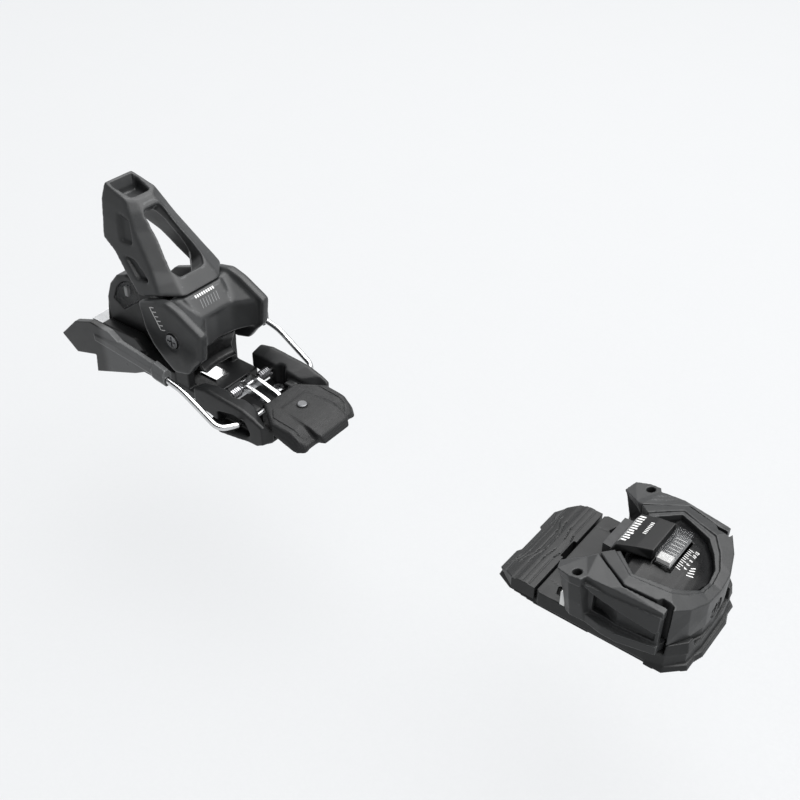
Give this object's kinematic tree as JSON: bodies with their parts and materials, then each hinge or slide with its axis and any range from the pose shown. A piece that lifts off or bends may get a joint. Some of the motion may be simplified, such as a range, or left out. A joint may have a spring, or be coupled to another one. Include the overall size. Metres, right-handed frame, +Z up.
{
  "type": "alpine ski binding set",
  "caption": "Step-in ski binding: toe piece with two turning wings, sliding heel piece with cup and lever, and a ski brake with pedal and wire arms.",
  "frame": {"origin": "on the ski's top surface, under the middle of the whole set", "axes": "+X towards the ski tip, +Y to the left of the ski, +Z up from the ski"},
  "size_m": [0.5305, 0.1094, 0.149],
  "materials": {
    "adjuster_cover_plate": "zinc plated",
    "arm_sleeve_left": "satin moulded",
    "arm_sleeve_right": "satin moulded",
    "axle_screw_left": "zinc plated",
    "axle_screw_right": "zinc plated",
    "brake_housing": "satin moulded",
    "brake_link_left": "bright plated",
    "brake_link_right": "bright plated",
    "brake_pedal": "satin moulded",
    "brake_screw_left": "zinc plated",
    "brake_screw_right": "zinc plated",
    "brake_spring_left": "zinc plated",
    "brake_spring_right": "zinc plated",
    "brake_wire_left": "bright plated",
    "brake_wire_right": "bright plated",
    "carriage_steel_plate": "bright plated",
    "forward_pressure_screw": "zinc plated",
    "forward_pressure_spring": "zinc plated",
    "gliding_plate": "satin moulded",
    "heel_carriage": "satin moulded",
    "heel_cup": "satin moulded",
    "heel_lever": "satin moulded",
    "heel_release_screw": "zinc plated",
    "heel_screw_front_left": "zinc plated",
    "heel_screw_front_right": "zinc plated",
    "heel_screw_rear_left": "zinc plated",
    "heel_screw_rear_right": "zinc plated",
    "heel_spring": "zinc plated",
    "heel_spring_plunger": "zinc plated",
    "heel_spring_seat": "zinc plated",
    "heel_track": "zinc plated",
    "heel_value_pointer": "satin",
    "heel_value_window": "clear",
    "lever_pin": "zinc plated",
    "link_pin": "zinc plated",
    "pedal_pin": "zinc plated",
    "pedal_rivet": "zinc plated",
    "pivot_axle": "zinc plated",
    "spring_housing": "black anodised",
    "step_plate": "satin moulded",
    "toe_base_plate": "satin moulded",
    "toe_dome_cover": "polished moulded",
    "toe_hood": "satin moulded",
    "toe_housing": "satin moulded",
    "toe_release_screw": "zinc plated",
    "toe_screw_front_left": "zinc plated",
    "toe_screw_front_right": "zinc plated",
    "toe_screw_rear_left": "zinc plated",
    "toe_screw_rear_right": "zinc plated",
    "toe_spring": "zinc plated",
    "toe_spring_case": "black anodised",
    "toe_spring_plunger": "zinc plated",
    "toe_spring_seat": "zinc plated",
    "toe_value_pointer": "satin",
    "toe_wing_left": "black anodised",
    "toe_wing_right": "black anodised",
    "value_window": "clear",
    "wing_pin_left": "zinc plated",
    "wing_pin_right": "zinc plated"
  },
  "bodies": {
    "ski_mounts": {"brake_housing": "brake_housing", "brake_screw_left": "brake_screw_left", "brake_screw_right": "brake_screw_right", "brake_spring_left": "brake_spring_left", "brake_spring_right": "brake_spring_right", "heel_screw_front_left": "heel_screw_front_left", "heel_screw_front_right": "heel_screw_front_right", "heel_screw_rear_left": "heel_screw_rear_left", "heel_screw_rear_right": "heel_screw_rear_right", "heel_track": "heel_track", "link_pin": "link_pin", "pedal_pin": "pedal_pin", "toe_base_plate": "toe_base_plate", "toe_dome_cover": "toe_dome_cover", "toe_hood": "toe_hood", "toe_housing": "toe_housing", "toe_screw_front_left": "toe_screw_front_left", "toe_screw_front_right": "toe_screw_front_right", "toe_screw_rear_left": "toe_screw_rear_left", "toe_screw_rear_right": "toe_screw_rear_right", "toe_spring": "toe_spring", "toe_spring_case": "toe_spring_case", "toe_spring_plunger": "toe_spring_plunger", "toe_spring_seat": "toe_spring_seat", "value_window": "value_window", "wing_pin_left": "wing_pin_left", "wing_pin_right": "wing_pin_right"},
    "wing_left": {"toe_wing_left": "toe_wing_left"},
    "wing_right": {"toe_wing_right": "toe_wing_right"},
    "boot_plate": {"gliding_plate": "gliding_plate"},
    "toe_screw": {"toe_release_screw": "toe_release_screw"},
    "toe_pointer": {"toe_value_pointer": "toe_value_pointer"},
    "heel_slider": {"heel_carriage": "heel_carriage", "carriage_steel_plate": "carriage_steel_plate", "adjuster_cover_plate": "adjuster_cover_plate", "forward_pressure_spring": "forward_pressure_spring", "spring_housing": "spring_housing", "heel_spring": "heel_spring", "heel_spring_seat": "heel_spring_seat", "heel_value_window": "heel_value_window", "pivot_axle": "pivot_axle", "axle_screw_left": "axle_screw_left", "axle_screw_right": "axle_screw_right", "heel_spring_plunger": "heel_spring_plunger"},
    "pressure_screw": {"forward_pressure_screw": "forward_pressure_screw"},
    "heel_screw": {"heel_release_screw": "heel_release_screw"},
    "heel_pointer": {"heel_value_pointer": "heel_value_pointer"},
    "cup": {"heel_cup": "heel_cup", "step_plate": "step_plate", "lever_pin": "lever_pin"},
    "lever": {"heel_lever": "heel_lever"},
    "pedal": {"brake_pedal": "brake_pedal", "pedal_rivet": "pedal_rivet"},
    "arm_left": {"brake_wire_left": "brake_wire_left", "arm_sleeve_left": "arm_sleeve_left"},
    "arm_right": {"brake_wire_right": "brake_wire_right", "arm_sleeve_right": "arm_sleeve_right"},
    "link_left": {"brake_link_left": "brake_link_left"},
    "link_right": {"brake_link_right": "brake_link_right"}
  },
  "joints": [
    {"name": "wing_left_pivot", "type": "hinge", "parent": "ski_mounts", "child": "wing_left", "pos_m": [0.2425, 0.035, 0.025], "axis": [0, 0, -1], "range_deg": [0, 25]},
    {"name": "wing_right_pivot", "type": "hinge", "parent": "ski_mounts", "child": "wing_right", "pos_m": [0.2425, -0.035, 0.025], "axis": [0, 0, 1], "range_deg": [0, 25]},
    {"name": "gliding_plate_slide", "type": "slide", "parent": "ski_mounts", "child": "boot_plate", "axis": [0, 1, 0], "range_m": [-0.006, 0.006]},
    {"name": "toe_release_turn", "type": "hinge", "parent": "ski_mounts", "child": "toe_screw", "pos_m": [0.2391, 0, 0.025], "axis": [-1, 0, 0], "range_deg": [0, 1440]},
    {"name": "toe_pointer_slide", "type": "slide", "parent": "ski_mounts", "child": "toe_pointer", "axis": [0, 1, 0], "range_m": [0, 0.0162]},
    {"name": "heel_slide", "type": "slide", "parent": "ski_mounts", "child": "heel_slider", "axis": [1, 0, 0], "range_m": [-0.008, 0.008]},
    {"name": "pressure_screw_turn", "type": "hinge", "parent": "heel_slider", "child": "pressure_screw", "pos_m": [-0.254, 0, 0.0146], "axis": [-1, 0, 0], "range_deg": [-730, 730]},
    {"name": "heel_release_turn", "type": "hinge", "parent": "heel_slider", "child": "heel_screw", "pos_m": [-0.234, 0, 0.048], "axis": [1, 0, 0], "range_deg": [0, 1440]},
    {"name": "heel_pointer_slide", "type": "slide", "parent": "heel_slider", "child": "heel_pointer", "axis": [1, 0, 0], "range_m": [0, 0.0112]},
    {"name": "cup_pivot", "type": "hinge", "parent": "heel_slider", "child": "cup", "pos_m": [-0.144, 0, 0.057], "axis": [0, -1, 0], "range_deg": [0, 30]},
    {"name": "lever_pivot", "type": "hinge", "parent": "cup", "child": "lever", "pos_m": [-0.168, 0, 0.074], "axis": [0, -1, 0], "range_deg": [0, 6]},
    {"name": "pedal_pivot", "type": "hinge", "parent": "ski_mounts", "child": "pedal", "pos_m": [-0.077, 0, 0.015], "axis": [0, -1, 0], "range_deg": [0, 30]},
    {"name": "arm_left_pivot", "type": "hinge", "parent": "ski_mounts", "child": "arm_left", "pos_m": [-0.082, 0, 0.013], "axis": [0, -1, 0], "range_deg": [0, 66.5]},
    {"name": "arm_right_pivot", "type": "hinge", "parent": "ski_mounts", "child": "arm_right", "pos_m": [-0.082, 0, 0.013], "axis": [0, -1, 0], "range_deg": [0, 66.5]},
    {"name": "link_left_pivot", "type": "hinge", "parent": "ski_mounts", "child": "link_left", "pos_m": [-0.106, 0.0055, 0.017], "axis": [0, -1, 0], "range_deg": [0, 10.6]},
    {"name": "link_right_pivot", "type": "hinge", "parent": "ski_mounts", "child": "link_right", "pos_m": [-0.106, -0.0055, 0.017], "axis": [0, -1, 0], "range_deg": [0, 10.6]}
  ],
  "couplings": [
    {"joint": "toe_pointer_slide", "follows": "toe_release_turn", "m_per_rad": 0.0006366},
    {"joint": "heel_pointer_slide", "follows": "heel_release_turn", "m_per_rad": 0.0004377},
    {"joint": "pressure_screw_turn", "follows": "heel_slide", "rad_per_m": 1570.8},
    {"joint": "arm_left_pivot", "follows": "pedal_pivot", "ratio": 2.2},
    {"joint": "arm_right_pivot", "follows": "pedal_pivot", "ratio": 2.2},
    {"joint": "link_left_pivot", "follows": "pedal_pivot", "ratio": 0.35},
    {"joint": "link_right_pivot", "follows": "pedal_pivot", "ratio": 0.35}
  ]
}
